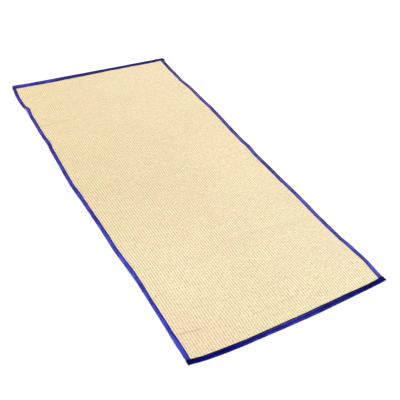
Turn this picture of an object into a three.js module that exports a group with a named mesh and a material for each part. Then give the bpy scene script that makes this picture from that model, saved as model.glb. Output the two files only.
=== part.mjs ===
// A rush mat lying open on the floor: one woven panel whose ribs run along its length, and a strip of
// cloth binding folded over each of its four edges. The end strips are folded over the side strips.
// Millimetres, +Z up. X runs across the mat, along the rushes. Y runs along its length, with the near
// end at -Y. The floor is at Z = 0.

import * as THREE from "three";

// The rectangle that the mat was woven to, and the move that puts its outermost points evenly about
// the origin
const WIDTH = 1100;
const LENGTH = 2362;
const CENTRE_X = 10.85;
const CENTRE_Y = 12.8;

// The woven panel: its thickness on the ribs, and how deep the grooves between them are
const RIB_COUNT = 82;
const PANEL_THICKNESS = 2.4;
const GROOVE_DEPTH = 0.7;

// The binding: one cloth thickness, and the outer fold's round, whose shoulder is a share of the
// strip's height
const CLOTH = 1.0;
const CLEARANCE = 0.3;
const FOLD_ROUND = 2;
const FOLD_CHAMFER = 0.6;
const FOLD_SHOULDER = 0.3;

// How far each strip reaches over the mat at its near or left end, its middle and its other end
const BINDING_WIDTHS = {
  left: [18.5, 19.5, 19.5],
  right: [24.5, 26, 26],
  near: [23.5, 27.5, 23.5],
  far: [38, 34, 30],
};

// A layer of cloth under the panel holds it up as far as LAYER_EDGE from the outline, and the panel
// has come down to the floor at LAYER_END
const LAYER = CLOTH + CLEARANCE;
const LAYER_EDGE = 43;
const LAYER_END = 64;
const PANEL_INSET = CLOTH + CLEARANCE;

// The sewn height of a side strip, and the part of the length over which an end's bow fades out
const STRIP_HEIGHT = 2 * LAYER + PANEL_THICKNESS;
const BOW_FADE = 300;

// One row for each section across the mat, from the near end to the far end: where its line meets the
// left and the right edge, how far each edge stands out from the rectangle, and how high it is lifted
const SECTIONS = [
  { leftY: -1181, rightY: -1181, leftOut: -1.8, rightOut: -8.4, leftLift: 0, rightLift: 0 },
  { leftY: -1110, rightY: -1110, leftOut: -1.1, rightOut: -2.9, leftLift: 0, rightLift: 0 },
  { leftY: -1045, rightY: -1045, leftOut: -0.4, rightOut: 1.5, leftLift: 3, rightLift: 1 },
  { leftY: -985, rightY: -970, leftOut: -1.6, rightOut: -2, leftLift: 0, rightLift: 1 },
  { leftY: -925, rightY: -915, leftOut: -2.2, rightOut: -8.3, leftLift: 0, rightLift: 5 },
  { leftY: -845, rightY: -855, leftOut: -2.3, rightOut: -12.4, leftLift: 0, rightLift: 1 },
  { leftY: -700, rightY: -700, leftOut: -2.6, rightOut: -13.9, leftLift: 1, rightLift: 0 },
  { leftY: -620, rightY: -640, leftOut: 1, rightOut: -16.1, leftLift: 5, rightLift: 2 },
  { leftY: -540, rightY: -545, leftOut: 5.5, rightOut: -11, leftLift: 0, rightLift: 0 },
  { leftY: -431, rightY: -431, leftOut: 10.7, rightOut: -11.4, leftLift: 0, rightLift: 0 },
  { leftY: -310, rightY: -310, leftOut: 10.6, rightOut: -14.4, leftLift: 0, rightLift: 0 },
  { leftY: -190, rightY: -190, leftOut: 13.6, rightOut: -14.1, leftLift: 0, rightLift: 0 },
  { leftY: -60, rightY: -70, leftOut: 16.5, rightOut: -17, leftLift: 0, rightLift: 1 },
  { leftY: 15, rightY: 0, leftOut: 20.3, rightOut: -14.9, leftLift: 4, rightLift: 6 },
  { leftY: 90, rightY: 80, leftOut: 23.2, rightOut: -14, leftLift: 1, rightLift: 1 },
  { leftY: 185, rightY: 185, leftOut: 21.4, rightOut: -11.9, leftLift: 0, rightLift: 0 },
  { leftY: 300, rightY: 300, leftOut: 17.3, rightOut: -7.6, leftLift: 0, rightLift: 0 },
  { leftY: 415, rightY: 415, leftOut: 14.9, rightOut: -3.5, leftLift: 1, rightLift: 0 },
  { leftY: 493, rightY: 490, leftOut: 9.4, rightOut: -4.6, leftLift: 4, rightLift: 2 },
  { leftY: 570, rightY: 570, leftOut: 12.9, rightOut: -6.5, leftLift: 0, rightLift: 0 },
  { leftY: 700, rightY: 720, leftOut: 11.5, rightOut: -6.9, leftLift: 0, rightLift: 0 },
  { leftY: 800, rightY: 800, leftOut: 10.2, rightOut: -14.1, leftLift: 1, rightLift: 1 },
  { leftY: 868, rightY: 856, leftOut: 5.6, rightOut: -24, leftLift: 8, rightLift: 6 },
  { leftY: 930, rightY: 915, leftOut: 14.4, rightOut: -18.2, leftLift: 1, rightLift: 1 },
  { leftY: 1020, rightY: 1020, leftOut: 18.7, rightOut: -15.7, leftLift: 0, rightLift: 0 },
  { leftY: 1109, rightY: 1109, leftOut: 12.4, rightOut: -13.5, leftLift: 0, rightLift: 0 },
  { leftY: 1181, rightY: 1181, leftOut: -1.1, rightOut: -9.7, leftLift: 0, rightLift: 0 },
];

// How far each end bows out past the rectangle, by the share of the width from the left edge
const END_BOWS = [
  { across: 0, near: 0.6, far: -2.6 },
  { across: 0.07, near: 12.8, far: -2.3 },
  { across: 0.12, near: 17.5, far: -2.2 },
  { across: 0.18, near: 20.7, far: -2.1 },
  { across: 0.25, near: 22.9, far: -2 },
  { across: 0.33, near: 23.1, far: -2 },
  { across: 0.43, near: 23.6, far: -2 },
  { across: 0.56, near: 22.8, far: -2 },
  { across: 0.7, near: 18.8, far: -2 },
  { across: 0.83, near: 13.1, far: -2.1 },
  { across: 0.93, near: 8.2, far: -2.3 },
  { across: 1, near: 2.4, far: -2.7 },
];

// How far the ends of the two end strips stick out past the sides. The right one narrows and flattens
// to a tip, which is left from tipOuter to tipInner of the strip's width.
const EARS = {
  near: { left: 0.8, right: 8, tipOuter: 0.5, tipInner: 6 },
  far: { left: 2, right: 11, tipOuter: 6, tipInner: 20 },
};
const EAR_TIP_HEIGHT = 2.6;

// The panel's grid across: a column on each groove and each crest, and which of them the flat
// underside keeps, at each edge and between
const GRID_COLUMNS = 2 * RIB_COUNT;
const UNDERSIDE_EDGE_COLUMNS = [0, 5, 10];
const UNDERSIDE_STEP = 15;

const straw = new THREE.MeshStandardMaterial({ color: 0xf0dfb4, roughness: 0.75, metalness: 0 });
const blueCloth = new THREE.MeshStandardMaterial({ color: 0x4a45c0, roughness: 0.55, metalness: 0 });
const navyCloth = new THREE.MeshStandardMaterial({ color: 0x14146e, roughness: 0.55, metalness: 0 });

const mix = THREE.MathUtils.lerp;
const share = (value, from, to) => THREE.MathUtils.clamp((value - from) / (to - from), 0, 1);

// A table's column at a place between its rows, in a straight line from row to row
function between(table, placeOf, at, column) {
  const last = table.length - 2;
  const next = table.findIndex((row) => placeOf(row) > at);
  const i = THREE.MathUtils.clamp(next < 0 ? last : next - 1, 0, last);
  const [low, high] = [table[i], table[i + 1]];
  return mix(low[column], high[column], share(at, placeOf(low), placeOf(high)));
}

const sectionValue = (along, column) => between(SECTIONS, (row) => row.leftY, along, column);
const bow = (across, end) => between(END_BOWS, (row) => row.across, across, end);

// A strip's width at a share of its length, in straight lines from its middle to its two ends
function bindingWidth(edge, part) {
  const [start, middle, end] = BINDING_WIDTHS[edge];
  return part < 0.5 ? mix(start, middle, share(part, 0, 0.5)) : mix(middle, end, share(part, 0.5, 1));
}

// 1 where a strip of binding lies under the panel, and 0 where the panel is down on the floor
const layerAt = (fromEdge) => 1 - share(fromEdge, LAYER_EDGE, LAYER_END);

function widthAt(along) {
  return WIDTH + sectionValue(along, "leftOut") + sectionValue(along, "rightOut");
}

// A point of the mat: along is its section, by where the section meets the left edge, inward is its
// distance from the left edge, and height is above the floor or, on a lift, above the lifted mat
function matPoint(along, inward, height) {
  const width = widthAt(along);
  const across = inward / width;
  const edge = THREE.MathUtils.clamp(across, 0, 1);
  const [toNear, toFar] = [along + LENGTH / 2, LENGTH / 2 - along];
  const nearBow = bow(edge, "near") * (1 - share(toNear, LAYER_END, BOW_FADE));
  const farBow = bow(edge, "far") * (1 - share(toFar, LAYER_END, BOW_FADE));
  return new THREE.Vector3(
    -WIDTH / 2 - sectionValue(along, "leftOut") + inward,
    mix(along, sectionValue(along, "rightY"), edge) - nearBow + farBow,
    height + mix(sectionValue(along, "leftLift"), sectionValue(along, "rightLift"), edge),
  );
}

const sideLayer = (along, inward) => layerAt(Math.min(inward, widthAt(along) - inward));
const endLayer = (along) => layerAt(LENGTH / 2 - Math.abs(along));

// The sections that the panel and the side strips share: the ends inside their binding, the edges of
// the slope down from it, and every section of the table between them
function sharedSections() {
  const ends = [PANEL_INSET, LAYER_EDGE, LAYER_END].map((inset) => LENGTH / 2 - inset);
  const inner = SECTIONS.slice(1, -1).map((row) => row.leftY);
  return [...ends.map((y) => -y), ...inner, ...ends.toReversed()];
}

// A closed solid through a row of like loops of points, with a cap on its first and last loop. plane
// names the coordinates to the right and up, seen by someone who looks along the row from its first
// loop, and each loop runs anticlockwise for them.
function loft(loops, plane) {
  const size = loops[0].length;
  const index = [];
  for (let i = 0; i + 1 < loops.length; i++) {
    for (let k = 0; k < size; k++) {
      const [a, b] = [i * size + k, i * size + ((k + 1) % size)];
      index.push(a, a + size, b, b, a + size, b + size);
    }
  }
  const capOf = (loop) =>
    THREE.ShapeUtils.triangulateShape(
      loop.map((p) => new THREE.Vector2(p[plane[0]], p[plane[1]])),
      [],
    );
  const lastLoop = (loops.length - 1) * size;
  capOf(loops[0]).forEach(([a, b, c]) => index.push(a, b, c));
  capOf(loops.at(-1)).forEach(([a, b, c]) => index.push(lastLoop + a, lastLoop + c, lastLoop + b));
  const geometry = new THREE.BufferGeometry().setFromPoints(loops.flat());
  geometry.setIndex(index);
  geometry.computeVertexNormals();
  return geometry;
}

// One section of the panel: the flat underside from left to right, then the ribbed upper face back
function panelLoop(along) {
  const pitch = (widthAt(along) - 2 * PANEL_INSET) / GRID_COLUMNS;
  const pointAt = (column, height) => {
    const inward = PANEL_INSET + column * pitch;
    const layers = sideLayer(along, inward) + endLayer(along);
    return matPoint(along, inward, LAYER * layers + height);
  };
  const upper = [];
  for (let column = 0; column <= GRID_COLUMNS; column++) {
    const groove = column % 2 === 0 ? GROOVE_DEPTH : 0;
    upper.push(pointAt(column, PANEL_THICKNESS - groove));
  }
  const lower = [...UNDERSIDE_EDGE_COLUMNS];
  const lastInner = GRID_COLUMNS - UNDERSIDE_EDGE_COLUMNS.at(-1);
  for (let column = lower.at(-1) + UNDERSIDE_STEP; column < lastInner; column += UNDERSIDE_STEP) {
    lower.push(column);
  }
  lower.push(...UNDERSIDE_EDGE_COLUMNS.toReversed().map((column) => GRID_COLUMNS - column));
  return [...lower.map((column) => pointAt(column, 0)), ...upper.toReversed()];
}

function rushPanel() {
  return loft(sharedSections().map(panelLoop), ["x", "z"]);
}

// The cloth of a strip cut across, as [inward, height] pairs: the lower leg, the rounded outer fold,
// the upper leg, and back along the square inside of the fold
function foldedCloth(outer, inner, low, high) {
  return [
    [inner, low],
    [outer + FOLD_ROUND, low],
    [outer + FOLD_CHAMFER, low + FOLD_CHAMFER],
    [outer, mix(low, high, FOLD_SHOULDER)],
    [outer, mix(high, low, FOLD_SHOULDER)],
    [outer + FOLD_CHAMFER, high - FOLD_CHAMFER],
    [outer + FOLD_ROUND, high],
    [inner, high],
    [inner, high - CLOTH],
    [outer + CLOTH, high - CLOTH],
    [outer + CLOTH, low + CLOTH],
    [inner, low + CLOTH],
  ];
}

// A strip along a side. It runs over the end strips' lower legs, and their upper legs lie on it.
function sideStrip(side) {
  const isLeft = side === "left";
  const loops = sharedSections().map((along) => {
    const inner = bindingWidth(side, (along + LENGTH / 2) / LENGTH);
    const low = LAYER * endLayer(along);
    const loop = foldedCloth(0, inner, low, low + STRIP_HEIGHT).map(([inward, height]) =>
      matPoint(along, isLeft ? inward : widthAt(along) - inward, height),
    );
    return isLeft ? loop.toReversed() : loop;
  });
  return loft(loops, ["x", "z"]);
}

// Where an end strip has its sections, from the right ear to the left one: each gives its distance
// from the left edge where the mat is so wide
function endStripStations(ear) {
  const fromRight = [-ear.right, -CLEARANCE, LAYER_EDGE, LAYER_END];
  const fromLeft = [LAYER_END, LAYER_EDGE, -CLEARANCE, -ear.left];
  const bowed = END_BOWS.slice(1, -1).toReversed();
  return [
    ...fromRight.map((distance) => (width) => width - distance),
    ...bowed.map((row) => (width) => row.across * width),
    ...fromLeft.map((distance) => () => distance),
  ];
}

// A strip over an end, folded over the side strips and sticking out past them at its two ears
function endStrip(end) {
  const sign = end === "near" ? -1 : 1;
  const edge = (sign * LENGTH) / 2;
  const ear = EARS[end];
  const width = widthAt(edge);
  const loops = endStripStations(ear).map((station) => {
    const inward = station(width);
    const isTip = inward === width + ear.right;
    const outer = isTip ? ear.tipOuter : 0;
    const inner = isTip ? ear.tipInner : bindingWidth(end, inward / width);
    const high = isTip ? EAR_TIP_HEIGHT : STRIP_HEIGHT + 2 * LAYER * sideLayer(edge, inward);
    const loop = foldedCloth(outer, inner, 0, high).map(([inset, height]) => {
      const along = edge - sign * inset;
      return matPoint(along, station(widthAt(along)), height);
    });
    return end === "near" ? loop.toReversed() : loop;
  });
  return loft(loops, ["y", "z"]);
}

function namedMesh(name, geometry, material) {
  const mesh = new THREE.Mesh(geometry, material);
  mesh.name = name;
  return mesh;
}

const mat = new THREE.Group();
mat.add(
  namedMesh("rush_panel", rushPanel(), straw),
  namedMesh("binding_left", sideStrip("left"), blueCloth),
  namedMesh("binding_right", sideStrip("right"), blueCloth),
  namedMesh("binding_near", endStrip("near"), navyCloth),
  namedMesh("binding_far", endStrip("far"), navyCloth),
);
mat.position.set(CENTRE_X, CENTRE_Y, 0);

export default mat;
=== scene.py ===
# A rush mat with a blue cloth binding, lying open on a pale floor under soft studio light.
# Sizes are in millimetres, as in the solids' source, and mat_points turns them into metres. X runs
# across the mat, Y along it with the near end at -Y, and the floor is at Z = 0.

import math

import bpy
import numpy as np
from mathutils import Matrix, Vector


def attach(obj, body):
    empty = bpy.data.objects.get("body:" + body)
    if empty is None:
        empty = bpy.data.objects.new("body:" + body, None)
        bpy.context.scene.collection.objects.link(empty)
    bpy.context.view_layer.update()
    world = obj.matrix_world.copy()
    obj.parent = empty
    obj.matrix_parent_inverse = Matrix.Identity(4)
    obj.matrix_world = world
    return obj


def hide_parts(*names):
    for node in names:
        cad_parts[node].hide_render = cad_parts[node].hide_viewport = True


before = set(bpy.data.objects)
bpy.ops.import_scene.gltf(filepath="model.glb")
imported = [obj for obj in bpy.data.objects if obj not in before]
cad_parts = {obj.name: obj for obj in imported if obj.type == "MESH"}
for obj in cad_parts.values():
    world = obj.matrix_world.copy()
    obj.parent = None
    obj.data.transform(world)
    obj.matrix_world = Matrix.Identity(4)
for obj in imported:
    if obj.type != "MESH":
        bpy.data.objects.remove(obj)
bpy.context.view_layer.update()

MM = 0.001

# The rectangle that the mat was woven to, and the move that centres its bounding box on the origin
WIDTH = 1100
LENGTH = 2362
CENTRE_X = 10.85
CENTRE_Y = 12.8

# The woven panel: its ribs, how far it ends inside the mat's edge, how far a rib wanders to the side
# as a share of a rib, and how high the beads on a rib and the loose swells between the bindings are
RIB_COUNT = 82
RIB_PITCH = WIDTH / RIB_COUNT
PANEL_THICKNESS = 2.4
PANEL_INSET = 3.4
GROOVE_DEPTH = 0.85
RIB_PLUMPNESS = 2.4
RIB_STRAY = 0.24
BEAD_HEIGHT = 0.1
SWELL_HEIGHT = 0.9

# The binding: the cloth, the width that the fold's table is drawn for, and the hem that a flat strip
# has besides twice its width
CLOTH = 0.8
DRAWN_WIDTH = 23
HEM = 5

# The stitches: how far in their row is, their spacing and length, how far they stray from it, and
# the thread
STITCH_INSET = 19.6
STITCH_PITCH = 3.8
STITCH_LENGTH = 2.7
STITCH_STRAY = 0.12
THREAD_RADIUS = 0.32
THREAD_SIDES = 6

# How wide each strip is along its length, by the share of it from the left or near end
WIDTH_PLACES = np.array((0, 0.05, 0.13, 0.28, 0.47, 0.67, 0.86, 1))
BINDING_WIDTHS = {
    "left": (20.7, 21.2, 18.7, 21.4, 20.7, 20.7, 20.2, 21.7),
    "right": (25.3, 25.3, 25, 26, 26.8, 26.8, 25.3, 27.8),
    "near": (23.4, 22.4, 25.4, 24.7, 28.1, 29.2, 25.9, 24.6),
    "far": (39.7, 41.5, 42, 42, 38, 33.5, 34.9, 30.5),
}

# A layer of binding under the panel lifts it. It is full as far in as LAYER_EDGE and gone at
# LAYER_END. The bow of an end fades out at BOW_FADE.
LAYER = 1.3
LAYER_EDGE = 43
LAYER_END = 64
STRIP_HEIGHT = 2 * LAYER + PANEL_THICKNESS
BOW_FADE = 300

# One row for each section across the mat: where its line meets the left and the right edge, how far
# each edge stands out from the rectangle, and how high it is lifted off the floor
SECTION_COLUMNS = ("left_y", "right_y", "left_out", "right_out", "left_lift", "right_lift")
SECTION_ROWS = (
    (-1181, -1181, -0.7, -7.9, 0, 0),
    (-1110, -1110, 0, -2.4, 0, 0),
    (-1045, -1045, 0.7, 2, 3, 1),
    (-985, -970, -0.5, -1.5, 0, 1),
    (-925, -915, -1.1, -7.8, 0, 5),
    (-845, -855, -1.2, -11.9, 0, 1),
    (-700, -700, -1.5, -13.4, 1, 0),
    (-620, -640, 2.1, -15.6, 5, 2),
    (-540, -545, 6.6, -10.5, 0, 0),
    (-431, -431, 11.8, -10.9, 0, 0),
    (-310, -310, 11.7, -13.9, 0, 0),
    (-190, -190, 14.7, -13.6, 0, 0),
    (-60, -70, 17.6, -16.5, 0, 1),
    (15, 0, 21.4, -14.4, 4, 6),
    (90, 80, 24.3, -13.5, 1, 1),
    (185, 185, 22.5, -11.4, 0, 0),
    (300, 300, 18.4, -7.1, 0, 0),
    (415, 415, 16, -3, 1, 0),
    (493, 490, 10.5, -4.1, 4, 2),
    (570, 570, 14, -6, 0, 0),
    (700, 720, 12.6, -6.4, 0, 0),
    (800, 800, 11.3, -13.6, 1, 1),
    (868, 856, 7.3, -23.5, 8, 6),
    (930, 915, 17.6, -17.7, 1, 1),
    (1020, 1020, 19.9, -15.2, 0, 0),
    (1109, 1109, 13.5, -13, 0, 0),
    (1181, 1181, 0, -9.2, 0, 0),
)
SECTIONS = dict(zip(SECTION_COLUMNS, np.array(SECTION_ROWS, float).T))

# How far each end bows out past the rectangle, by the share of the width from the left edge
BOW_COLUMNS = ("across", "near", "far")
BOW_ROWS = (
    (0, 3, -2.1),
    (0.07, 13.7, -0.5),
    (0.12, 18.2, -1),
    (0.18, 21.4, -2.1),
    (0.25, 23.4, -1.9),
    (0.33, 23.3, -1.2),
    (0.43, 24, -1.9),
    (0.56, 23.6, -1.1),
    (0.7, 19.3, -0.7),
    (0.83, 14, 0.1),
    (0.93, 9.3, 0.4),
    (1, 4.6, -2.2),
)
BOWS = dict(zip(BOW_COLUMNS, np.array(BOW_ROWS, float).T))

# How far each end strip sticks out past the left and the right side. Its right tip narrows to the
# part between two distances in from the fold, and flattens to a height.
EARS = {"near": (0.8, 8), "far": (2, 11)}
EAR_TIPS = {"near": (0.5, 6), "far": (6, 20)}
EAR_TIP_HEIGHT = 1.8
EAR_TAPER = 1.2
EAR_STEPS = 9

# How far from each side an end strip begins to take up the change in the mat's width
CORNER = 60

# Creases pressed into the panel, each from x and y to x and y on the mat: how far it swells to each
# side, its height, and how dark the painted shade of the thin line along it is. The taper sets how
# bluntly they end.
CREASE_ROWS = (
    (-548, 664, -310, 677, 16, 1.5, 0.22),
    (-445, 560, -300, 556, 14, 0.8, 0.09),
    (285, 578, 370, 584, 14, 0.8, 0.08),
    (-560, 383, -465, 386, 14, 1.0, 0.14),
    (-30, 270, 230, 280, 16, 0.8, 0.07),
    (-560, 120, -475, 122, 12, 0.9, 0.12),
    (-70, -625, 470, -632, 20, 0.9, 0.06),
    (-545, -806, -430, -800, 12, 0.9, 0.12),
    (-535, -1031, -375, -1043, 12, 1.3, 0.24),
    (-170, -1068, 140, -1060, 14, 0.7, 0.07),
)
CREASE_TAPER = 0.6

# The painted shade line's width, how far and how often it sways, and where it fades at its start and its
# end
CREASE_LINE = 7
CREASE_SWAY = 9
CREASE_SWAY_SCALE = 0.03
CREASE_START = 20
CREASE_END = 60

# The grid of the panel's mesh: places across a rib from its left groove, and rows along the mat
RIB_PLACES = (0, 0.18, 0.5, 0.82)
PANEL_ROWS = 262
UNDERSIDE_STEP = 8

# The rings along one stitch: how far along it, how thick it is, and how far it stands off the cloth
STITCH_COLUMNS = ("along", "thick", "above")
STITCH_ROWS = (
    (-1, 0.5, -0.8),
    (-0.7, 0.9, 0.1),
    (0, 1, 0.45),
    (0.7, 0.9, 0.1),
    (1, 0.5, -0.8),
)
STITCH = dict(zip(STITCH_COLUMNS, np.array(STITCH_ROWS, float).T))

# The step between a strip's loops, the gap between the parts of a flat map, how much larger than
# life a stitch is drawn for its map, and the margin of its cell
STRIP_STEP = 3.4
MAP_GAP = 6
STITCH_MAP = 8
CELL_MARGIN = 0.1

# The folded cloth cut across, from the lower leg's edge round the outer fold to the upper leg's edge
# and back inside: the distance inward, the share of the strip's height, and what is added to it.
# The upper leg is crowned, drawn down at the stitches and turned under at its edge. Its points that
# are drawn down past INNER_FACE are on the inside of the fold.
FOLD_COLUMNS = ("inward", "level", "extra")
FOLD_ROWS = (
    (23, 0, 0),
    (13, 0, 0),
    (4, 0, 0),
    (2.3, 0.02, 0),
    (0.9, 0.12, 0),
    (0.2, 0.3, 0),
    (0, 0.5, 0),
    (0.2, 0.7, 0),
    (0.9, 0.88, 0),
    (2.3, 0.98, 0),
    (4.2, 1, 0.12),
    (7, 1, 0.34),
    (10, 1, 0.42),
    (13, 1, 0.38),
    (16, 1, 0.2),
    (18.3, 1, -0.05),
    (19.6, 1, -0.2),
    (20.8, 1, -0.08),
    (22, 1, 0.02),
    (22.9, 1, -0.16),
    (23.2, 1, -0.55),
    (22.8, 1, -0.95),
    (20, 1, -1.0),
    (10, 1, -0.72),
    (1.1, 1, -0.85),
    (0.9, 0.5, 0),
    (1.1, 0, 0.85),
    (12, 0, 0.8),
    (23, 0, 0.8),
)
FOLD = dict(zip(FOLD_COLUMNS, np.array(FOLD_ROWS, float).T))
STITCH_PLACE = [row[0] for row in FOLD_ROWS].index(STITCH_INSET)
INNER_FACE = -0.5

# The waves of a strip: the number added to its seed, how big they are, and how long. The puckers lie
# askew on the sewn leg, the sways widen the strip, and the ripple moves its fold.
PUCKERS = (0, 0.2, 31)
LONG_SWAY = (1, 0.03, 190)
SHORT_SWAY = (2, 0.015, 60)
RIPPLE = (3, 0.25, 75)
PUCKER_SLANT = 0.9

# How far the panel's ribs press into the leg above and pull at the fold, between which distances
# inward a strip takes up its own width, and how much of the fold's relief is pressed flat at an ear's
# tip and where a side strip is covered
RIB_PRESS = 0.22
RIB_PULL = 0.35
WIDENS_FROM = 4
WIDENS_TO = 18
TIP_FLATTENING = 0.5
SIDE_FLATTENING = 0.95

# Colours, as linear light. A tone's first number is its place on a scale from 0 to 1. Dashes along
# the ribs and each stalk's own shade give the place on that scale.
STALK_PITCH = 2.3
RUSH_TONES = (
    (0.05, (0.6, 0.455, 0.225)),
    (0.3, (0.73, 0.595, 0.345)),
    (0.55, (0.805, 0.69, 0.44)),
    (0.8, (0.875, 0.775, 0.545)),
    (1, (0.905, 0.835, 0.64)),
)
TONE_START = 0.085
DASH_SHARE = 0.85
STALK_SHARE = 0.05

# Broad tints: patches all over the mat, painted light and shade from side to side by the share of its
# ribs, darker on the left and paler on the right, and painted light and shade from end to end by the
# metres along it, paler at the near end
GREENER = (0.985, 1, 0.95)
PINKER = (1, 0.975, 0.985)
TINT_SCALE = 4.0
TINT_EDGES = (0.35, 0.65)
LEFT_PAINTED_SHADE = (0.97, 0.955, 0.925)
RIGHT_PAINTED_LIGHT = (1, 1.01, 1.05)
SIDE_FADE = (0.1, 1)
NEAR_PAINTED_LIGHT = (1.01, 1.04, 1.075)
FAR_PAINTED_SHADE = (0.98, 0.98, 0.975)
END_FADE = (-0.9, 0.2)

# Soft patches where the rush dried pinker or lighter: the middle, how far it reaches, the tone. A
# patch is full out to a share of its reach.
SOFT_PATCHES = (
    (-560, -1190, 480, (1.01, 0.965, 1.01)),
    (470, -70, 480, (1.04, 1.045, 1.03)),
    (-380, -690, 400, (1.03, 1.035, 1.05)),
)
PATCH_CORE = 0.2

# Brown flecks, where the noise is high
FLECK = (0.35, 0.22, 0.09)
FLECK_EDGES = (0.82, 0.9)
FLECK_STRENGTH = 0.5

# The shade in the grooves and its tint. It goes from light to deep between tight and slack weave,
# and weakens along the mat from the near to the far end.
GROOVE_SHADE = 0.45
GROOVE_TINT = (1.08, 0.97, 0.97)
GROOVE_SHARPNESS = 3.0
SLACK_EDGES = (0.3, 0.7)
SLACK_SHADES = (0.45, 1.55)
DEPTH_FADE = (-0.3, 1.1)
FAR_DEPTH = 0.7

# The shade between stalks, how rough light and dark stalks are, and the relief of stalks and fibres
GAP_SHADE = 0.2
GAP_SHARPNESS = 4.0
ROUGHEST = 0.66
TONE_GLOSS = 0.15
STALK_RELIEF = 0.35
STALK_SINKS = 0.4
FIBRE_RELIEF = 0.12

# How noise is scaled for each rib, and for each metre or stalk along the mat
DASH_NOISE = (3.7, 130.0)
FLECK_NOISE = (2.0, 1.0)
SLACK_NOISE = (1.7, 105.0)
FIBRE_NOISE = (4.0, 4000.0)

# Each strip's blue from its left or near end to its other end, and how it changes from the fold to
# the sewn edge. The same cloth is painted lighter on the side strips and darker on the end strips:
# painted sheen and painted shade.
BLUES_WITH_PAINTED_SHEEN = {
    "left": (
        (0, (0.046, 0.05, 0.455)),
        (0.3, (0.048, 0.048, 0.39)),
        (0.68, (0.042, 0.037, 0.29)),
        (1, (0.056, 0.05, 0.37)),
    ),
    "right": (
        (0, (0.072, 0.078, 0.44)),
        (0.3, (0.07, 0.068, 0.35)),
        (0.65, (0.068, 0.06, 0.29)),
        (1, (0.074, 0.056, 0.29)),
    ),
    "near": (
        (0, (0.0015, 0.002, 0.1)),
        (0.2, (0.003, 0.004, 0.16)),
        (0.45, (0.025, 0.027, 0.24)),
        (0.62, (0.011, 0.015, 0.15)),
        (1, (0.001, 0.002, 0.115)),
    ),
    "far": (
        (0, (0.05, 0.042, 0.33)),
        (0.25, (0.038, 0.032, 0.24)),
        (0.45, (0.022, 0.016, 0.125)),
        (0.7, (0.02, 0.0145, 0.105)),
        (1, (0.024, 0.0165, 0.135)),
    ),
}
# On a side strip: painted sheen on its crown, and painted shade darkening towards the sewn edge by the
# panel
SIDE_SHEEN_AND_SHADE = (
    (0, (0.95, 0.95, 0.95)),
    (0.45, (1, 1, 1)),
    (0.72, (0.82, 0.74, 0.78)),
    (0.95, (0.4, 0.3, 0.45)),
)
# On the near strip: painted light on the outer roll, a painted shade line, a painted highlight on the
# crown by the stitches, and painted shade at the sewn edge
NEAR_SHEEN_AND_SHADE = (
    (0.1, (1.3, 1.3, 1.1)),
    (0.3, (1.4, 1.4, 1.15)),
    (0.38, (0.03, 0.06, 0.76)),
    (0.47, (0.03, 0.06, 0.76)),
    (0.58, (1.7, 1.3, 1.2)),
    (0.7, (1.9, 1.2, 1.1)),
    (0.84, (1.1, 0.4, 0.45)),
    (0.97, (0.6, 0.35, 0.25)),
)
# On the far strip: painted light at the fold, and painted shade towards the sewn edge
FAR_SHEEN_AND_SHADE = (
    (0.1, (1.15, 1.1, 1.3)),
    (0.5, (1, 0.95, 1)),
    (0.8, (0.8, 0.75, 0.75)),
    (0.95, (0.5, 0.4, 0.45)),
)
SHEEN_AND_SHADE_ACROSS = {"left": SIDE_SHEEN_AND_SHADE, "right": SIDE_SHEEN_AND_SHADE, "near": NEAR_SHEEN_AND_SHADE, "far": FAR_SHEEN_AND_SHADE}

# Painted blotches of sheen and shade where the cloth puckers, its weave and its fuzz
PUCKER_SHEEN_NOISE = (0.7, 12.0)
PUCKER_SHEEN_EDGES = (0.33, 0.67)
PUCKER_SHEEN_SHADES = (0.5, 1.4)
THREAD_PITCH = 0.9
THREADS_TO_TURNS = 2 * math.pi / (THREAD_PITCH * MM)
WEAVE_SHADE = 0.87
WEAVE_CONTRAST = 0.25
FUZZ_SHADE = 0.85
FUZZ_CONTRAST = 0.3
FUZZ_SCALE = 2500.0
CLOTH_RELIEF = 0.12

# Each strip's sewing thread, as how strong its red and green are and its blue, the dark and the
# light end of its shades as parts of red, green and blue, and its twist. Like their cloth, the
# threads are painted lighter on the side strips and darker on the end strips: painted sheen and
# painted shade.
THREADS = {"left": (0.035, 0.33), "right": (0.05, 0.3), "near": (0.006, 0.1), "far": (0.025, 0.16)}
THREAD_SHADES = ((0.2, (0.6, 0.5, 0.6)), (0.8, (1.4, 1.2, 1.4)))
THREAD_SPREAD = 0.6
TWIST_SHARE = 0.5
TWIST_SCALE = 2200.0
TWIST_RELIEF = 0.1

# The seeds of the strips' waves, in the order that the strips are made in
STRIP_SEEDS = {"left": 41, "right": 51, "near": 61, "far": 71}

# The camera, which was solved from the mat's corners in the photo, then the floor and the light
CAMERA_PLACE = (-1.41155, -2.3969, 2.1656)
CAMERA_AXES = (
    (0.864449, 0.263209, -0.428310),
    (-0.494598, 0.597820, -0.630860),
    (0.090005, 0.757187, 0.646967),
)
CAMERA_LENS = 56.03
CAMERA_SENSOR = 36
FLOOR_REACH = 20
FLOOR_HEIGHT = -0.0005
FLOOR_TONES = ((0.93, 0.93, 0.93), (0.96, 0.96, 0.96))
SUN_AIM = (-0.3, -0.2, -0.93)
SUN_ANGLE = 35
SUN_STRENGTH = 1.37
WORLD_STRENGTH = 0.92


def share(value, start, end):
    return np.clip((value - start) / (end - start), 0, 1)


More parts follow.
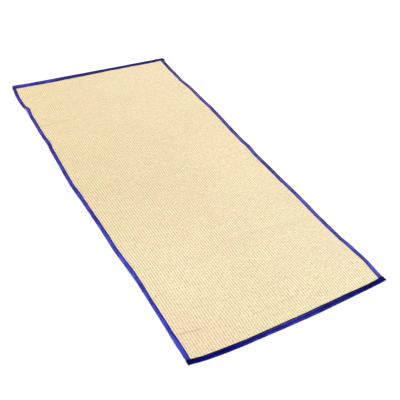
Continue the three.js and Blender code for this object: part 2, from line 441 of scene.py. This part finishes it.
def smooth(places, values, at):
    """A table's column at some places, on a smooth curve that never swings past its rows."""
    step = np.diff(places)
    slope = np.diff(values) / step
    lean = np.concatenate([slope[:1], np.zeros(len(slope) - 1), slope[-1:]])
    before, after = slope[:-1], slope[1:]
    product = before * after
    both = product > 0
    lean[1:-1][both] = 2 * product[both] / (before + after)[both]
    i = np.clip(np.searchsorted(places, at, side="right") - 1, 0, len(step) - 1)
    t = np.clip((at - places[i]) / step[i], 0, 1)
    curve = (1 + 2 * t) * (1 - t) ** 2 * values[i] + t * t * (3 - 2 * t) * values[i + 1]
    return curve + step[i] * t * (1 - t) * ((1 - t) * lean[i] - t * lean[i + 1])


def section(column, along):
    return smooth(SECTIONS["left_y"], SECTIONS[column], along)


def width_at(along):
    return WIDTH + section("left_out", along) + section("right_out", along)


def layer_at(from_edge):
    """1 where a strip of binding lies under the panel, and 0 where the panel is down on the floor."""
    return 1 - share(from_edge, LAYER_EDGE, LAYER_END)


def side_layer(along, inward):
    return layer_at(np.minimum(inward, width_at(along) - inward))


def end_layer(along):
    return layer_at(LENGTH / 2 - np.abs(along))


def lift_at(along, across):
    left, right = section("left_lift", along), section("right_lift", along)
    return left + across * (right - left)


def mat_points(along, inward, height):
    """Points in metres, from their section, their distance from the left edge, and their height."""
    across = np.clip(inward / width_at(along), 0, 1)
    near = 1 - share(along + LENGTH / 2, LAYER_END, BOW_FADE)
    far = 1 - share(LENGTH / 2 - along, LAYER_END, BOW_FADE)
    bowed = far * smooth(BOWS["across"], BOWS["far"], across)
    bowed = bowed - near * smooth(BOWS["across"], BOWS["near"], across)
    x = CENTRE_X - WIDTH / 2 - section("left_out", along) + inward
    y = CENTRE_Y + along + across * (section("right_y", along) - along) + bowed
    return np.stack(np.broadcast_arrays(x, y, height + lift_at(along, across)), -1) * MM


class Waves:
    """A smooth random curve, or one for each of count things: a few sine waves about one length."""

    def __init__(self, seed, length, count=1, waves=5, spread=0.45):
        random = np.random.default_rng(seed)
        self.lengths = length * (1 + spread * random.uniform(-1, 1, (waves, count)))
        self.starts = random.uniform(0, 2 * math.pi, (waves, count))

    def __call__(self, at, which=0):
        which = np.broadcast_to(which, np.shape(at))
        turns = 2 * math.pi * at / self.lengths[:, which] + self.starts[:, which]
        return np.sin(turns).sum(0) / math.sqrt(len(self.lengths))


def crease_height(x, y):
    """How high the short creases stand at a place on the mat."""
    total = np.zeros(np.broadcast(x, y).shape)
    for from_x, from_y, to_x, to_y, reach, height, _ in CREASE_ROWS:
        run = np.array([to_x - from_x, to_y - from_y], float)
        length = np.hypot(*run)
        run /= length
        forward = (x - from_x) * run[0] + (y - from_y) * run[1]
        aside = (y - from_y) * run[0] - (x - from_x) * run[1]
        taper = np.sin(math.pi * share(forward, 0, length)) ** CREASE_TAPER
        total += height * taper * np.exp(-((aside / reach) ** 2))
    return total


def loft_faces(loops, size):
    """Faces that join like closed loops of points one after another, with a cap on each end. The
    loops run anticlockwise, seen along the loft."""
    near, nearer = np.arange(size), (np.arange(size) + 1) % size
    quads = np.stack([near, near + size, nearer + size, nearer], -1)
    faces = (quads[None] + size * np.arange(loops - 1)[:, None, None]).reshape(-1, 4).tolist()
    last = size * (loops - 1)
    return [*faces, list(range(size)), list(range(last + size - 1, last - 1, -1))]


def unrolled(run, around, cap, bands=1):
    """A flat map's places for the corners of a loft's faces, in the order of loft_faces.

    run holds each loop's distance, around each point's distance round its loop and then the whole
    way round, and cap the points of a cap. The loft is cut into bands that lie side by side, and
    the caps lie after them."""
    rows, columns = len(run) - 1, len(around) - 1
    row, column = np.divmod(np.arange(rows * columns), columns)
    band = row * bands // rows
    band_row = -(-band * rows // bands)
    pitch = around[-1] + MAP_GAP
    u = (band * pitch)[:, None] + around[column[:, None] + (0, 0, 1, 1)]
    v = run[row[:, None] + (0, 1, 1, 0)] - run[band_row][:, None]
    cap = cap - cap.min(0)
    cap_u = bands * pitch + np.concatenate([cap[:, 1], cap[::-1, 1]])
    cap_v = np.concatenate([cap[:, 0], cap[::-1, 0] + cap[:, 0].max() + MAP_GAP])
    u, v = np.concatenate([u.ravel(), cap_u]), np.concatenate([v.ravel(), cap_v])
    places = np.stack([u, v], -1) + MAP_GAP
    return places / (places.max() + MAP_GAP)


def vectors(*columns):
    return np.stack(np.broadcast_arrays(*columns), -1).reshape(-1, len(columns))


def new_object(name, points, faces, attributes, flat_map):
    """A smooth mesh with vectors on its points, and a flat map for the finish baked from it."""
    mesh = bpy.data.meshes.new(name)
    mesh.from_pydata(points.reshape(-1, 3).tolist(), [], faces)
    for key, values in attributes.items():
        data = mesh.attributes.new(key, "FLOAT_VECTOR", "POINT").data
        data.foreach_set("vector", values.astype(np.float32).ravel())
    layer = mesh.uv_layers.new(name="OFBake")
    layer.data.foreach_set("uv", flat_map.astype(np.float32).ravel())
    mesh.shade_smooth()
    made = bpy.data.objects.new(name, mesh)
    bpy.context.scene.collection.objects.link(made)
    return made


def strayed_inward(rib, along):
    """How far in from the left edge a rib lies. The ribs wander a little, except at the sides."""
    stray = RIB_STRAY * Waves(11, 300)(along) * Waves(12, 600)(rib * RIB_PITCH)
    strayed = rib + stray * np.sin(math.pi * rib / RIB_COUNT)
    return PANEL_INSET + strayed / RIB_COUNT * (width_at(along) - 2 * PANEL_INSET)


def rib_relief(rib, along):
    """How thick the weave is: full at a rib's crest, which has beads along it."""
    crest = 1 - np.abs(2 * (rib % 1) - 1) ** RIB_PLUMPNESS
    which = np.minimum(rib.astype(int), RIB_COUNT - 1)
    beads = Waves(21, 34, RIB_COUNT)(along + 0 * rib, which)
    return PANEL_THICKNESS - GROOVE_DEPTH * (1 - crest) + BEAD_HEIGHT * beads * crest


def loose_height(along, from_middle, layers):
    """How far swells and creases lift the weave, where no layer of binding is under it."""
    swell = 0.5 + 0.5 * np.tanh(Waves(31, 330)(along) * Waves(32, 700)(from_middle))
    return (1 - np.clip(layers, 0, 1)) * (SWELL_HEIGHT * swell + crease_height(from_middle, along))


def woven_panel():
    """The woven sheet: a ribbed upper face and a plain underside, one closed loop for each row.
    Each point carries the ribs from the left edge, the metres along the mat, and 1 on top."""
    half = LENGTH / 2 - PANEL_INSET
    along = np.linspace(-half, half, PANEL_ROWS)[:, None]
    upper = np.append(np.add.outer(np.arange(RIB_COUNT), RIB_PLACES).ravel(), RIB_COUNT)
    lower = upper[::UNDERSIDE_STEP]
    rib = np.concatenate([lower, upper[::-1]])[None]
    on_top = np.concatenate([np.zeros(len(lower)), np.ones(len(upper))])[None]

    inward = strayed_inward(rib, along)
    layers = side_layer(along, inward) + end_layer(along)
    loose = loose_height(along, inward - width_at(along) / 2, layers)
    points = mat_points(along, inward, LAYER * layers + loose + on_top * rib_relief(rib, along))

    across = rib[0] * RIB_PITCH
    around = np.where(on_top[0] > 0, 2 * WIDTH + PANEL_THICKNESS - across, across)
    around = np.append(around, 2 * (WIDTH + PANEL_THICKNESS))
    cap = vectors(across, on_top[0] * PANEL_THICKNESS)
    flat_map = unrolled(along[:, 0] + half, around, cap)
    faces = loft_faces(PANEL_ROWS, rib.size)
    weave = vectors(rib, along * MM, on_top)
    return new_object("woven_panel", points, faces, {"weave": weave}, flat_map)


def stitch_points(path, travelled, middles):
    """The rings of points of all stitches, each with its ends sunk in the cloth."""

    def on_path(distance):
        axes = [np.interp(distance, travelled, path[:, axis]) for axis in range(3)]
        return np.stack(axes, -1)

    forward = on_path(middles + 1) - on_path(middles - 1)
    forward /= np.linalg.norm(forward, axis=1)[:, None]
    aside = np.cross(forward, (0, 0, 1))
    aside /= np.linalg.norm(aside, axis=1)[:, None]
    up = np.cross(aside, forward)

    turn = 2 * math.pi * np.arange(THREAD_SIDES) / THREAD_SIDES
    over = STITCH["above"][:, None] + STITCH["thick"][:, None] * np.sin(turn)
    beside = STITCH["thick"][:, None] * np.cos(turn)
    spokes = beside[..., None] * aside[:, None, None] + over[..., None] * up[:, None, None]
    centres = on_path(middles[:, None] + STITCH["along"] * STITCH_LENGTH / 2)
    return centres[:, :, None] + THREAD_RADIUS * MM * spokes


def stitch_map(count, side):
    """The flat maps of all stitches, in a square of side by side cells."""
    turn = 2 * math.pi * np.arange(THREAD_SIDES) / THREAD_SIDES
    radius = THREAD_RADIUS * STITCH_MAP
    around = np.linspace(0, 2 * math.pi * radius, THREAD_SIDES + 1)
    cap = radius * np.stack([np.cos(turn), np.sin(turn)], -1)
    one = unrolled(STITCH["along"] * STITCH_LENGTH * STITCH_MAP, around, cap)
    corner = np.stack(np.divmod(np.arange(count), side), -1)
    return (corner[:, None] + CELL_MARGIN + (1 - 2 * CELL_MARGIN) * one) / side


def stitches(name, path):
    """A row of small stitches along a line of points."""
    legs = np.linalg.norm(np.diff(path, axis=0), axis=1) / MM
    travelled = np.concatenate([[0], np.cumsum(legs)])
    middles = np.arange(STITCH_PITCH, travelled[-1] - STITCH_PITCH, STITCH_PITCH)
    count = len(middles)
    middles = middles + np.random.default_rng(count).normal(0, STITCH_STRAY, count)

    size = len(STITCH_ROWS) * THREAD_SIDES
    one = loft_faces(len(STITCH_ROWS), THREAD_SIDES)
    starts = range(0, size * count, size)
    faces = [[corner + start for corner in face] for start in starts for face in one]
    side = math.ceil(math.sqrt(count))
    shade = np.random.default_rng(side).uniform(0, 1, count).repeat(size)
    thread = vectors(shade, shade, shade)
    points = stitch_points(path, travelled, middles)
    return new_object(name, points, faces, {"thread": thread}, stitch_map(count, side))


def strip_waves(kind, seed, at):
    """The waves of one kind in a strip, at some distances along it."""
    number, size, length = kind
    return size * Waves(seed + number, length)(at)


def strip_reach(edge, run, inward, ribs, tip, seed):
    """How far in from the edge the points of a strip lie."""
    wide = smooth(WIDTH_PLACES, np.array(BINDING_WIDTHS[edge]), run / run[-1])
    sway = strip_waves(LONG_SWAY, seed, run) + strip_waves(SHORT_SWAY, seed, run)
    ripple = strip_waves(RIPPLE, seed, run) - RIB_PULL * ribs
    drawn = inward / DRAWN_WIDTH
    widened = (wide - DRAWN_WIDTH) * share(inward, WIDENS_FROM, WIDENS_TO)
    reach = inward * (1 + sway) + widened + ripple * (1 - drawn)
    tip_from, tip_to = EAR_TIPS.get(edge, (0, 0))
    return reach + tip * (tip_from + (tip_to - tip_from) * drawn - reach)


def strip_rise(run, fold, crown, ribs, tip, seed):
    """What the points of a strip add to the height of their leg."""
    inward, level, extra = fold
    full = np.sin(math.pi * share(inward, 1, STITCH_INSET))
    puckers = strip_waves(PUCKERS, seed, run + PUCKER_SLANT * inward)
    pressed = puckers * full + RIB_PRESS * ribs
    in_upper = (level == 1) & (extra > INNER_FACE)
    return np.where(in_upper, crown * (extra + pressed), extra) * (1 - TIP_FLATTENING * tip)


def folded_strip(edge, place, run, low, high, seed, crown=1, ribs=0, tip=0, turned=False):
    """The strip of binding on an edge of the mat, and the line of its stitches.

    place gives points from a distance along the strip, a distance inward and a height. For each
    distance in run, low and high are the heights of the legs, crown is how full the upper leg is,
    ribs how far the panel's ribs press into it and tip how far it has narrowed. The loops of a
    turned strip run the other way."""
    order = slice(None, None, -1) if turned else slice(None)
    fold = inward, level, extra = [FOLD[key][None, order] for key in FOLD_COLUMNS]
    reach = strip_reach(edge, run, inward, ribs, tip, seed)
    rise = strip_rise(run, fold, crown, ribs, tip, seed)
    points = place(run, reach, low + (high - low) * level + rise)

    drawn_height = level[0] * STRIP_HEIGHT + extra[0]
    legs = np.hypot(np.diff(inward[0]), np.diff(drawn_height))
    around = np.concatenate([[0], np.cumsum(legs), [legs.sum() + CLOTH]])
    flat_map = unrolled(run[:, 0], around, vectors(inward[0], drawn_height), bands=4)
    faces = loft_faces(len(run), inward.size)
    cloth = vectors(around[:-1] * MM, run * MM, inward / DRAWN_WIDTH)
    seam = STITCH_PLACE if not turned else len(FOLD_ROWS) - 1 - STITCH_PLACE
    strip = new_object(f"tape_{edge}", points, faces, {"cloth": cloth}, flat_map)
    return strip, points[:, seam]


def side_strip(edge, seed):
    """A strip on a side. Its ends lie under the end strips, where its stitches are left out."""
    half = LENGTH / 2 - PANEL_INSET
    run = np.linspace(0, 2 * half, int(2 * half / STRIP_STEP))[:, None]
    raised = end_layer(run - half)
    on_left = edge == "left"

    def place(run, inward, height):
        along = run - half
        return mat_points(along, inward if on_left else width_at(along) - inward, height)

    low = LAYER * raised
    high = low + STRIP_HEIGHT
    crown = 1 - SIDE_FLATTENING * raised
    strip, seam = folded_strip(edge, place, run, low, high, seed, crown=crown, turned=on_left)
    hidden = math.ceil(LAYER_EDGE / STRIP_STEP)
    return strip, seam[hidden:-hidden]


def end_strip(edge, seed):
    """A strip on an end, over the ends of the side strips."""
    left_ear, right_ear = EARS[edge]
    sign = 1 if edge == "far" else -1
    end = np.array([[sign * LENGTH / 2]])
    width = width_at(end).item()
    before_ear = np.linspace(0, left_ear + width, int(width / STRIP_STEP))
    along_ear = left_ear + width + np.linspace(0, right_ear, EAR_STEPS)
    run = np.concatenate([before_ear, along_ear[1:]])[:, None]
    inward = run - left_ear

    def place(run, inset, height):
        along = sign * (LENGTH / 2 - inset)
        here = run - left_ear
        here = here + (width_at(along) - width) * share(here, CORNER, width - CORNER)
        return mat_points(along, here, height)

    over_side = side_layer(end, inward)
    tip = share(inward - width, 0, right_ear) ** EAR_TAPER
    full = STRIP_HEIGHT + 2 * LAYER * over_side
    high = full + tip * (EAR_TIP_HEIGHT - full)
    rib = (inward - PANEL_INSET) / (width - 2 * PANEL_INSET) * RIB_COUNT
    ribs = -np.cos(2 * math.pi * rib) * (1 - over_side)
    turned = edge == "far"
    return folded_strip(edge, place, run, 0, high, seed, ribs=ribs, tip=tip, turned=turned)


class Finish:
    """A procedural material, whose nodes take numbers, colours or other nodes' outputs."""

    def __init__(self, name, **shader_values):
        self.material = bpy.data.materials.new(name)
        self.material.use_nodes = True
        self.tree = self.material.node_tree
        self.shader = self.tree.nodes["Principled BSDF"]
        for key, value in shader_values.items():
            self.shader.inputs[key.replace("_", " ")].default_value = value

    def put(self, value, socket):
        if isinstance(value, bpy.types.NodeSocket):
            self.tree.links.new(value, socket)
        elif socket.type == "RGBA":
            socket.default_value = (*value, 1)
        else:
            socket.default_value = value

    def add(self, kind, inputs, output=0, **settings):
        node = self.tree.nodes.new("ShaderNode" + kind)
        for key, value in settings.items():
            setattr(node, key, value)
        for key, value in inputs.items():
            self.put(value, node.inputs[key])
        return node.outputs[output]

    def math(self, operation, *values):
        return self.add("Math", dict(enumerate(values)), operation=operation)

    def parts(self, attribute):
        """The three numbers of a vector that the mesh carries on its points."""
        vector = self.add("Attribute", {}, output="Vector", attribute_name=attribute)
        return [self.add("SeparateXYZ", {0: vector}, output=axis) for axis in range(3)]

    def vector(self, x=0.0, y=0.0, z=0.0):
        return self.add("CombineXYZ", {0: x, 1: y, 2: z})

    def noise(self, vector, scale, detail=2.0, roughness=0.5):
        """Smooth noise about 0.5."""
        inputs = {"Vector": vector, "Scale": scale, "Detail": detail, "Roughness": roughness}
        return self.add("TexNoise", inputs, output="Fac")

    def stretched_noise(self, first, second, scales, detail=1.0, roughness=0.5):
        """Smooth noise over two values, each with its own scale."""
        values = zip((first, second), scales)
        place = self.vector(*(self.math("MULTIPLY", value, scale) for value, scale in values))
        return self.noise(place, 1.0, detail, roughness)

    def fade(self, value, start, end, low=0.0, high=1.0):
        """low where value is before start, high past end, and smooth between them."""
        inputs = {"Value": value, "From Min": start, "From Max": end, "To Min": low, "To Max": high}
        return self.add("MapRange", inputs, interpolation_type="SMOOTHSTEP")

    def ramp(self, value, *stops):
        """A colour for a value, from stops of a place and a colour."""
        node = self.tree.nodes.new("ShaderNodeValToRGB")
        elements = node.color_ramp.elements
        while len(elements) < len(stops):
            elements.new(0.5)
        for element, (place, colour) in zip(elements, stops):
            element.position = place
            element.color = (*colour, 1)
        self.put(value, node.inputs[0])
        return node.outputs[0]

    def mix(self, share_of_second, first, second, blend="MIX"):
        node = self.tree.nodes.new("ShaderNodeMix")
        node.data_type = "RGBA"
        node.blend_type = blend
        for socket, value in zip((0, 6, 7), (share_of_second, first, second)):
            self.put(value, node.inputs[socket])
        return node.outputs[2]

    def tint(self, colour, by):
        return self.mix(1.0, colour, by, "MULTIPLY")

    def off_centre(self, value):
        """0 halfway between two whole numbers, and 1 at each of them."""
        return self.math("ABSOLUTE", self.math("MULTIPLY_ADD", self.math("FRACT", value), 2.0, -1.0))

    def bump(self, height, depth):
        """Relief, from a height of 0 to 1 that is depth metres deep."""
        normal = self.add("Bump", {"Height": height, "Distance": depth})
        self.put(normal, self.shader.inputs["Normal"])

    def shade(self, colour, amount):
        """A colour times a number."""
        return self.add("VectorMath", {0: colour, "Scale": amount}, operation="SCALE")


def rush_tone(finish, column, along, stalk):
    """How light the rush is: dashes along each rib, and a shade of its own for each stalk."""
    dash = finish.stretched_noise(column, along, DASH_NOISE)
    own = finish.add("TexWhiteNoise", {"W": stalk}, noise_dimensions="1D")
    tone = finish.math("MULTIPLY_ADD", dash, DASH_SHARE, TONE_START)
    return finish.math("MULTIPLY_ADD", own, STALK_SHARE, tone)


def tinted_with_painted_light(finish, colour, rib, along):
    """The colour with its tints over the whole mat, and its painted light and shade from side to side
    and from end to end.
    """
    place = finish.vector(finish.math("MULTIPLY", rib, RIB_PITCH * MM), along)
    patches = finish.fade(finish.noise(place, TINT_SCALE, 3.0), *TINT_EDGES)
    colour = finish.tint(colour, finish.mix(patches, GREENER, PINKER))
    # Painted light and shade: darker to the left and at the far end, paler to the right and at the near
    # end
    from_left = finish.fade(rib, *(RIB_COUNT * end for end in SIDE_FADE))
    colour = finish.tint(colour, finish.mix(from_left, LEFT_PAINTED_SHADE, RIGHT_PAINTED_LIGHT))
    from_near = finish.fade(along, *END_FADE)
    return finish.tint(colour, finish.mix(from_near, NEAR_PAINTED_LIGHT, FAR_PAINTED_SHADE))


def softly_patched(finish, colour, rib, along):
    """The colour with its soft patches."""
    across = finish.math("MULTIPLY_ADD", rib, RIB_PITCH * MM, -WIDTH / 2 * MM)
    place = finish.vector(across, along)
    for x, y, reach, tone in SOFT_PATCHES:
        ends = {0: place, 1: (x * MM, y * MM, 0)}
        off = finish.add("VectorMath", ends, output="Value", operation="DISTANCE")
        here = finish.fade(off, PATCH_CORE * reach * MM, reach * MM, 1.0, 0.0)
        colour = finish.tint(colour, finish.mix(here, (1, 1, 1), tone))
    return colour


def groove_light(finish, rib, along, groove):
    """How much light the grooves leave."""
    slack = finish.stretched_noise(rib, along, SLACK_NOISE)
    depth = finish.fade(slack, *SLACK_EDGES, *(-shade * GROOVE_SHADE for shade in SLACK_SHADES))
    depth = finish.math("MULTIPLY", depth, finish.fade(along, *DEPTH_FADE, 1.0, FAR_DEPTH))
    return finish.math("MULTIPLY_ADD", groove, depth, 1.0)


def crease_light(finish, x, along, crease):
    """How much light the painted shade line along a crease leaves, with x in millimetres from the
    middle.
    """
    from_x, from_y, to_x, to_y, _, _, shade = crease
    lean = (to_y - from_y) / (to_x - from_x)
    line = finish.math("MULTIPLY_ADD", x, lean * MM, (from_y - lean * from_x) * MM)
    place = finish.vector(finish.math("MULTIPLY", x, CREASE_SWAY_SCALE), from_y)
    sway = finish.noise(place, 1.0, 1.0)
    line = finish.math("MULTIPLY_ADD", sway, CREASE_SWAY * MM, line)
    off = finish.math("ABSOLUTE", finish.math("SUBTRACT", along, line))
    strength = finish.fade(off, 0.0, CREASE_LINE * MM, shade, 0.0)
    begun = finish.fade(x, from_x - CREASE_START, from_x + CREASE_START)
    going = finish.fade(x, to_x - CREASE_END, to_x, 1.0, 0.0)
    strength = finish.math("MULTIPLY", finish.math("MULTIPLY", strength, begun), going)
    return finish.math("SUBTRACT", 1.0, strength)


def rush_finish():
    """Rush stalks laid across the mat over the warp, which sinks them into a groove at each side of
    a rib. Neighbouring ribs show alternate stalks."""
    finish = Finish("dried_rush", Specular_IOR_Level=0.25)
    rib, along, _ = finish.parts("weave")
    column = finish.math("FLOOR", rib)
    half_step = finish.math("MULTIPLY", finish.math("MODULO", column, 2.0), 0.5)
    stalks = finish.math("MULTIPLY_ADD", along, 1 / (STALK_PITCH * MM), half_step)
    stalk = finish.math("FLOOR", stalks)
    from_stalk = finish.off_centre(stalks)
    groove = finish.math("POWER", finish.off_centre(rib), GROOVE_SHARPNESS)

    tone = rush_tone(finish, column, along, stalk)
    colour = tinted_with_painted_light(finish, finish.ramp(tone, *RUSH_TONES), rib, along)
    colour = softly_patched(finish, colour, rib, along)
    fleck = finish.stretched_noise(rib, stalk, FLECK_NOISE, 0.0)
    fleck = finish.fade(fleck, *FLECK_EDGES, 0.0, FLECK_STRENGTH)
    colour = finish.mix(fleck, colour, FLECK)
    colour = finish.mix(groove, colour, finish.tint(colour, GROOVE_TINT))

    light = groove_light(finish, rib, along, groove)
    x = finish.math("MULTIPLY_ADD", rib, RIB_PITCH, -WIDTH / 2)
    # The painted shade of a thin line along each crease
    for crease in CREASE_ROWS:
        light = finish.math("MULTIPLY", light, crease_light(finish, x, along, crease))
    gap = finish.math("POWER", from_stalk, GAP_SHARPNESS)
    light = finish.math("MULTIPLY", light, finish.math("MULTIPLY_ADD", gap, -GAP_SHADE, 1.0))
    finish.put(finish.shade(colour, light), finish.shader.inputs["Base Color"])
    roughness = finish.math("MULTIPLY_ADD", tone, -TONE_GLOSS, ROUGHEST)
    finish.put(roughness, finish.shader.inputs["Roughness"])

    arch = finish.math("SUBTRACT", 1.0, finish.math("POWER", from_stalk, 2.0))
    arch = finish.math("MULTIPLY", arch, finish.math("MULTIPLY_ADD", groove, -STALK_SINKS, 1.0))
    fibres = finish.stretched_noise(rib, along, FIBRE_NOISE)
    finish.bump(finish.math("MULTIPLY_ADD", fibres, FIBRE_RELIEF, arch), STALK_RELIEF * MM)
    return finish.material


def cloth_finish(edge, length):
    """Plain-woven cotton tape for the strip on an edge, with painted sheen and shade along and across it
    and painted blotches of sheen and shade where it puckers.
    """
    finish = Finish(f"tape_{edge}", Roughness=0.75, Specular_IOR_Level=0.02)
    around, run, inward = finish.parts("cloth")
    # Painted sheen: the side strips lighter and the end strips darker than the same cloth
    colour = finish.ramp(finish.math("DIVIDE", run, length * MM), *BLUES_WITH_PAINTED_SHEEN[edge])
    # Painted sheen and shade across the strip, from the fold to the sewn edge
    colour = finish.tint(colour, finish.ramp(inward, *SHEEN_AND_SHADE_ACROSS[edge]))
    # Painted blotches of sheen and shade where the cloth puckers
    pucker_sheen = finish.stretched_noise(inward, run, PUCKER_SHEEN_NOISE, 3.0, 0.6)
    pucker_sheen = finish.fade(pucker_sheen, *PUCKER_SHEEN_EDGES, *PUCKER_SHEEN_SHADES)

    warp = finish.math("SINE", finish.math("MULTIPLY", around, THREADS_TO_TURNS))
    weft = finish.math("SINE", finish.math("MULTIPLY", run, THREADS_TO_TURNS))
    weave = finish.math("MULTIPLY_ADD", finish.math("MULTIPLY", warp, weft), 0.5, 0.5)
    fuzz = finish.noise(finish.vector(around, run), FUZZ_SCALE, 2.0)
    shade = finish.math("MULTIPLY_ADD", weave, WEAVE_CONTRAST, WEAVE_SHADE)
    fuzz_shade = finish.math("MULTIPLY_ADD", fuzz, FUZZ_CONTRAST, FUZZ_SHADE)
    shade = finish.math("MULTIPLY", shade, fuzz_shade)
    shade = finish.math("MULTIPLY", shade, pucker_sheen)
    finish.put(finish.shade(colour, shade), finish.shader.inputs["Base Color"])
    finish.bump(finish.math("MULTIPLY_ADD", fuzz, FUZZ_CONTRAST, weave), CLOTH_RELIEF * MM)
    return finish.material


def thread_finish(edge):
    """Sewing thread: each stitch has its own shade, and its twist shows as a fine relief."""
    finish = Finish(f"thread_{edge}", Roughness=0.6, Specular_IOR_Level=0.1)
    own, _, _ = finish.parts("thread")
    twist = finish.noise(finish.add("TexCoord", {}, output="Object"), TWIST_SCALE, 2.0)
    twisted = finish.math("MULTIPLY", twist, TWIST_SHARE)
    tone = finish.math("MULTIPLY_ADD", own, THREAD_SPREAD, twisted)
    dull, blue = THREADS[edge]
    stops = [(place, (dull * r, dull * g, blue * b)) for place, (r, g, b) in THREAD_SHADES]
    finish.put(finish.ramp(tone, *stops), finish.shader.inputs["Base Color"])
    finish.bump(twist, TWIST_RELIEF * MM)
    return finish.material


def floor_finish():
    """A matt white floor with the faintest unevenness."""
    finish = Finish("studio_floor", Roughness=0.9, Specular_IOR_Level=0.1)
    place = finish.add("TexCoord", {}, output="Object")
    tone = finish.ramp(finish.noise(place, 3.0), (0.3, FLOOR_TONES[0]), (0.7, FLOOR_TONES[1]))
    finish.put(tone, finish.shader.inputs["Base Color"])
    return finish.material


def dress(piece, material, replaces=None):
    """Gives a piece its finish and its place in the model."""
    piece.data.materials.append(material)
    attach(piece, "root")
    if replaces:
        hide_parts(replaces)
    return piece


def add_floor():
    corners = [(-1, -1), (1, -1), (1, 1), (-1, 1)]
    points = [(x * FLOOR_REACH, y * FLOOR_REACH, FLOOR_HEIGHT) for x, y in corners]
    mesh = bpy.data.meshes.new("floor")
    mesh.from_pydata(points, [], [(0, 1, 2, 3)])
    mesh.materials.append(floor_finish())
    floor = bpy.data.objects.new("floor", mesh)
    bpy.context.scene.collection.objects.link(floor)


def add_camera():
    data = bpy.data.cameras.new("camera")
    data.lens = CAMERA_LENS
    data.sensor_width = CAMERA_SENSOR
    camera = bpy.data.objects.new("camera", data)
    camera.matrix_world = Matrix.Translation(CAMERA_PLACE) @ Matrix(CAMERA_AXES).to_4x4()
    bpy.context.scene.collection.objects.link(camera)
    bpy.context.scene.camera = camera


def add_light():
    """A broad soft sun, and an even white light from all around."""
    data = bpy.data.lights.new("soft_sun", "SUN")
    data.angle = math.radians(SUN_ANGLE)
    data.energy = SUN_STRENGTH
    sun = bpy.data.objects.new("soft_sun", data)
    sun.rotation_euler = Vector(SUN_AIM).to_track_quat("-Z", "Y").to_euler()
    bpy.context.scene.collection.objects.link(sun)

    world = bpy.data.worlds.new("studio")
    world.use_nodes = True
    background = world.node_tree.nodes["Background"]
    background.inputs["Color"].default_value = (1, 1, 1, 1)
    background.inputs["Strength"].default_value = WORLD_STRENGTH
    bpy.context.scene.world = world
    bpy.context.scene.view_settings.view_transform = "Standard"


for edge, seed in STRIP_SEEDS.items():
    at_side = edge in ("left", "right")
    slot, length = ("side_binding", LENGTH) if at_side else ("end_binding", WIDTH)
    strip, seam = side_strip(edge, seed) if at_side else end_strip(edge, seed)
    dress(strip, cloth_finish(edge, length), f"binding_{edge}")
    row = dress(stitches(f"stitches_{edge}", seam), thread_finish(edge))
    tape = 2 * np.mean(BINDING_WIDTHS[edge]).item() + HEM

panel = dress(woven_panel(), rush_finish(), "rush_panel")

add_floor()
add_camera()
add_light()
